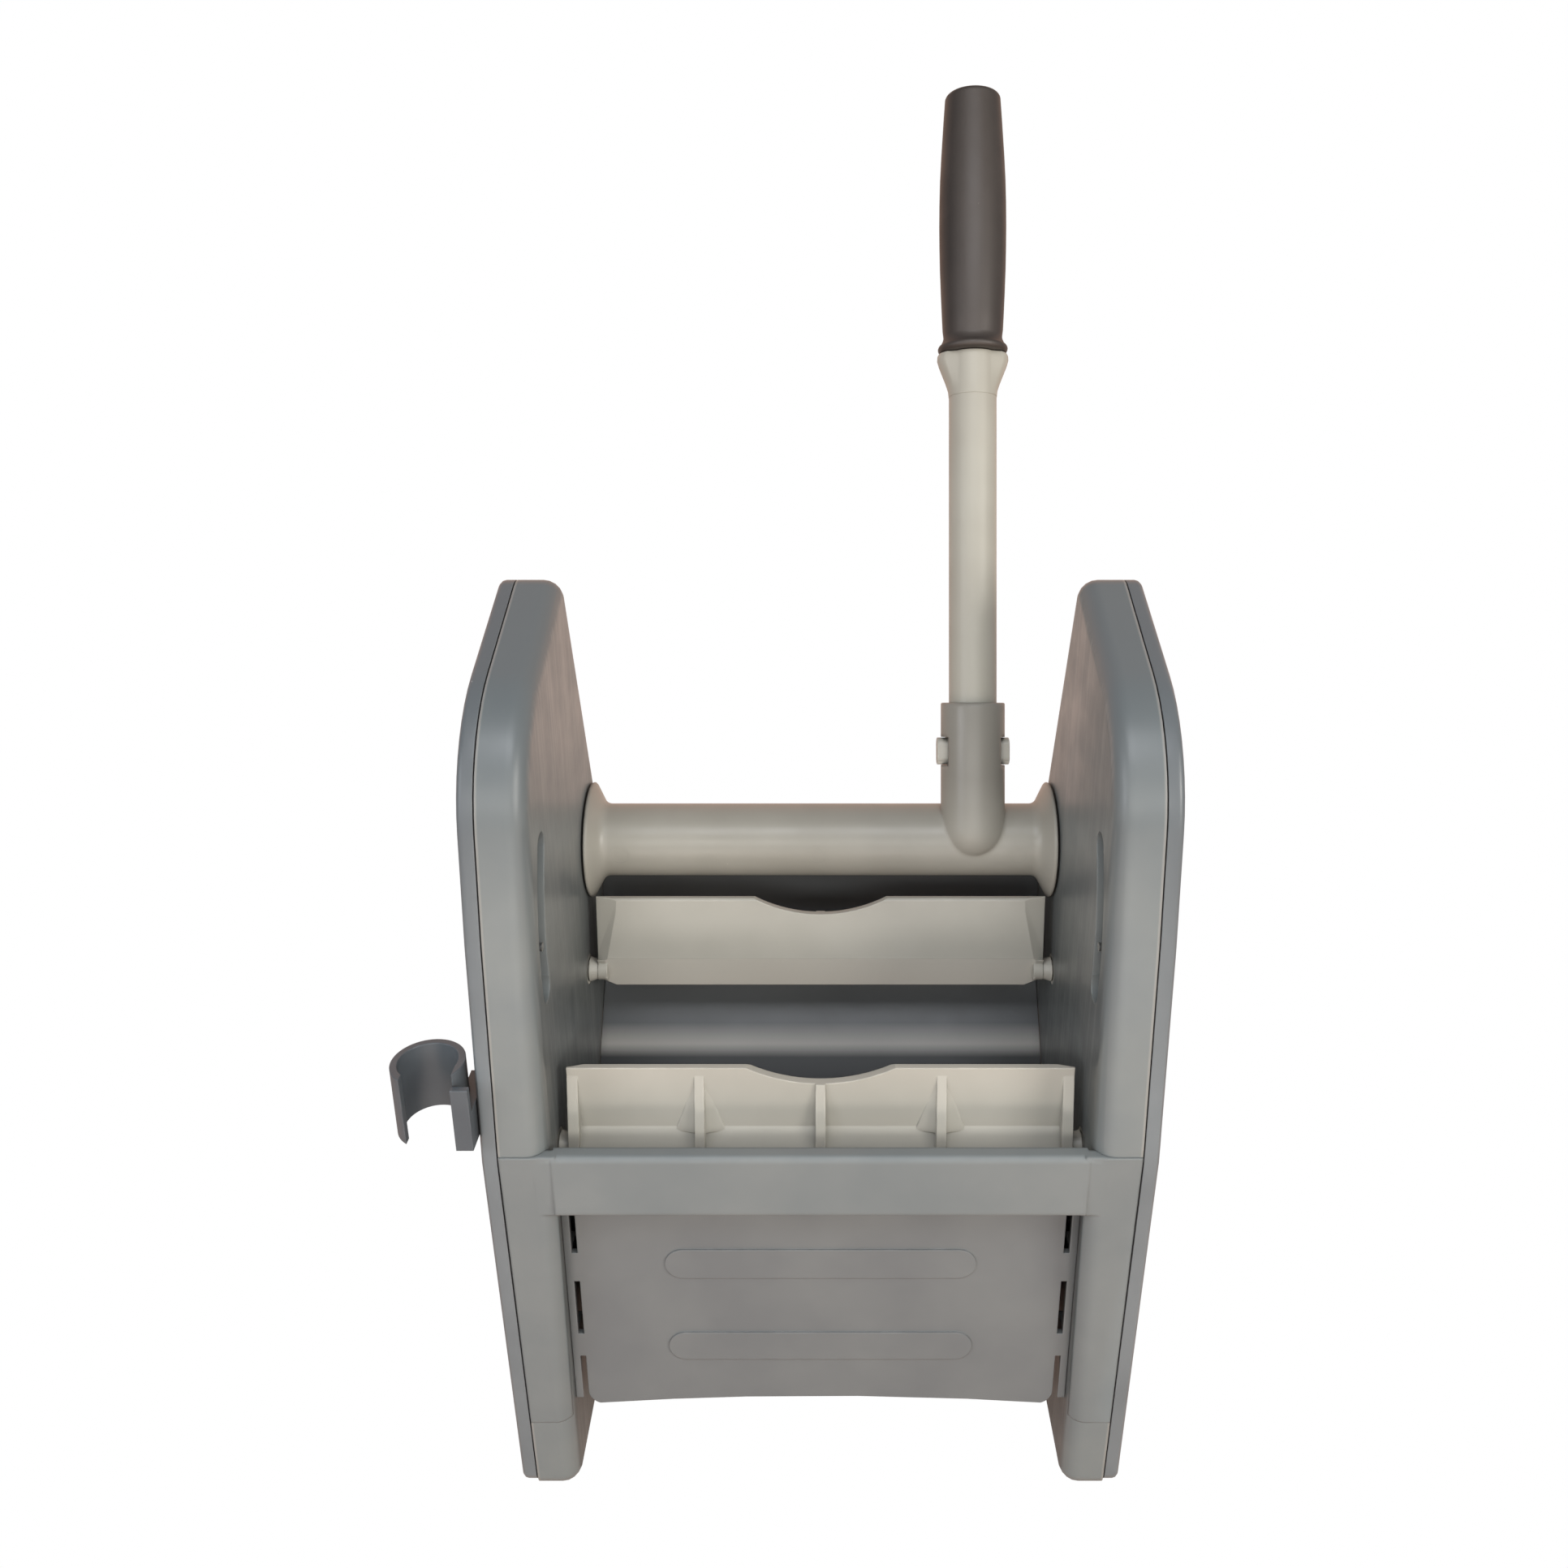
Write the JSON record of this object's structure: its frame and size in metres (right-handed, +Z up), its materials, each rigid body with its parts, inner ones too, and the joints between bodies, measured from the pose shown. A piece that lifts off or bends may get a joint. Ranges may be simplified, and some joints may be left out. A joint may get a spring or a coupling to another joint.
{
  "type": "double-jaw mop press",
  "caption": "Lever-driven wringer with facing jaws between side panels, geared to a cross shaft, above a water chute, with a snap clip for the mop handle.",
  "frame": {"origin": "on the floor under the middle of the whole object's box, lever and handle clip included", "axes": "+X to the lever's side, +Y from the chute's front panel to the rear, +Z up"},
  "size_m": [0.3361, 0.2906, 0.6672],
  "materials": {
    "housing": "fine satin moulding, light grey",
    "cover": "fine satin moulding, light grey",
    "chute": "satin moulding, mid grey",
    "bush": "bare acetal, off-white",
    "steel": "stainless, as machined",
    "clip": "satin nylon, blue-grey",
    "shaft": "glass-filled nylon, warm grey",
    "tube": "glass-filled nylon, pale warm grey",
    "grip": "satin rubber, near black",
    "gear": "bare acetal, pale grey",
    "button": "glass-filled nylon, warm grey",
    "jaw": "glass-filled nylon, warm grey"
  },
  "bodies": {
    "frame": {"left_side_housing": "housing", "right_side_housing": "housing", "left_outer_cover": "cover", "right_outer_cover": "cover", "front_frame": "housing", "water_chute": "chute", "left_shaft_bush": "bush", "right_shaft_bush": "bush", "left_jaw_bushes": "bush", "right_jaw_bushes": "bush", "left_idler_axle": "steel", "right_idler_axle": "steel", "left_cover_screws": "steel", "right_cover_screws": "steel", "slot_pins": "steel", "frame_screws": "steel", "chute_screws": "steel", "mop_handle_clip": "clip", "clip_screws": "steel"},
    "lever": {"drive_shaft": "shaft", "lever_arm": "tube", "lever_collar": "tube", "lever_grip": "grip", "left_pinion": "gear", "right_pinion": "gear", "pinion_screws": "steel", "button_spring": "steel"},
    "left_button_body": {"left_button": "button"},
    "right_button_body": {"right_button": "button"},
    "rear_jaw": {"rear_jaw_plate": "jaw", "rear_left_sector": "gear", "rear_right_sector": "gear", "rear_jaw_screws": "steel"},
    "front_jaw": {"front_jaw_plate": "jaw", "front_left_sector": "gear", "front_right_sector": "gear", "front_jaw_screws": "steel"},
    "left_idler_body": {"left_idler": "gear"},
    "right_idler_body": {"right_idler": "gear"}
  },
  "joints": [
    {"name": "lever_swing", "type": "hinge", "parent": "frame", "child": "lever", "pos_m": [0.01805, 0.00969, 0.296], "axis": [1, 0, 0], "range_deg": [0, 100]},
    {"name": "rear_jaw_swing", "type": "hinge", "parent": "frame", "child": "rear_jaw", "pos_m": [0.01805, -0.01634, 0.2335], "axis": [1, 0, 0], "range_deg": [0, 50]},
    {"name": "front_jaw_swing", "type": "hinge", "parent": "frame", "child": "front_jaw", "pos_m": [0.01805, -0.11001, 0.19848], "axis": [1, 0, 0], "range_deg": [-50, 0]},
    {"name": "left_idler_spin", "type": "hinge", "parent": "frame", "child": "left_idler_body", "pos_m": [-0.11345, -0.0191, 0.28092], "axis": [1, 0, 0], "range_deg": [-86, 0]},
    {"name": "right_idler_spin", "type": "hinge", "parent": "frame", "child": "right_idler_body", "pos_m": [0.14955, -0.0191, 0.28092], "axis": [1, 0, 0], "range_deg": [-86, 0]},
    {"name": "left_button_press", "type": "slide", "parent": "lever", "child": "left_button_body", "axis": [1, 0, 0], "range_m": [0, 0.0063], "stiffness_N_per_m": 600, "springref_m": -0.001, "deforming": ["button_spring"]},
    {"name": "right_button_press", "type": "slide", "parent": "lever", "child": "right_button_body", "axis": [-1, 0, 0], "range_m": [0, 0.0063], "stiffness_N_per_m": 600, "springref_m": -0.001, "deforming": ["button_spring"]}
  ],
  "couplings": [
    {"joint": "rear_jaw_swing", "follows": "lever_swing", "ratio": 0.5},
    {"joint": "front_jaw_swing", "follows": "lever_swing", "ratio": -0.5},
    {"joint": "left_idler_spin", "follows": "lever_swing", "ratio": -0.85714},
    {"joint": "right_idler_spin", "follows": "lever_swing", "ratio": -0.85714}
  ]
}
